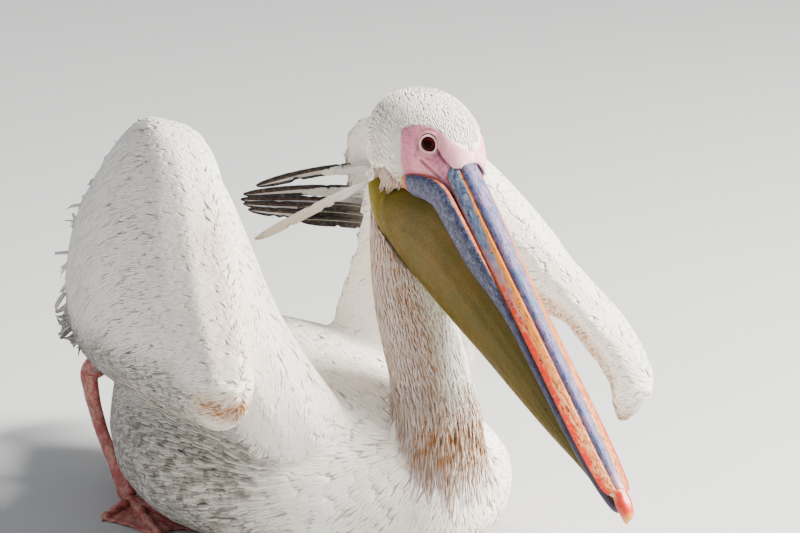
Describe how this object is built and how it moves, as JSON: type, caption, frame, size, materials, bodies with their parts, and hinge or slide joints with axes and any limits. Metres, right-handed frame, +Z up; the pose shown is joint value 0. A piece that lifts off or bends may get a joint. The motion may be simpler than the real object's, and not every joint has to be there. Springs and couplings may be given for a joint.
{
  "type": "great white pelican",
  "caption": "Life-size still model of a great white pelican resting on its belly, wings half raised, bill lowered with its pouch hanging.",
  "frame": {"origin": "on the flat under the belly, below the middle of the back, at floor level", "axes": "-Y is the way the bird looks, +X is its left, +Z is up"},
  "size_m": [0.4424, 0.8142, 0.4215],
  "materials": {
    "plumage": "soft white feathers, tan at the edges of the wings and the foot of the neck",
    "flight_feathers": "stiff black and grey-white flight feathers",
    "bill": "slightly glossy horn, blue-grey with an orange stripe",
    "nail": "slightly glossy red-orange horn",
    "pouch": "thin olive-yellow skin, finely speckled",
    "eye": "wet, glossy, dark red-brown",
    "foot": "scaly pinkish skin"
  },
  "bodies": {
    "root": {"trunk": "plumage", "neck_lower": "plumage", "neck_upper": "plumage", "head": "plumage", "eye_right": "eye", "eye_left": "eye", "bill_upper": "bill", "bill_nail": "nail", "bill_lower": "bill", "pouch": "pouch", "tail": "plumage", "upper_arm_right": "plumage", "forearm_right": "plumage", "hand_right": "plumage", "primaries_right": "flight_feathers", "secondaries_right": "flight_feathers", "tertials_right": "flight_feathers", "leg_right": "foot", "foot_right": "foot", "upper_arm_left": "plumage", "forearm_left": "plumage", "hand_left": "plumage", "primaries_left": "flight_feathers", "secondaries_left": "flight_feathers", "tertials_left": "flight_feathers", "leg_left": "foot", "foot_left": "foot"}
  },
  "joints": []
}
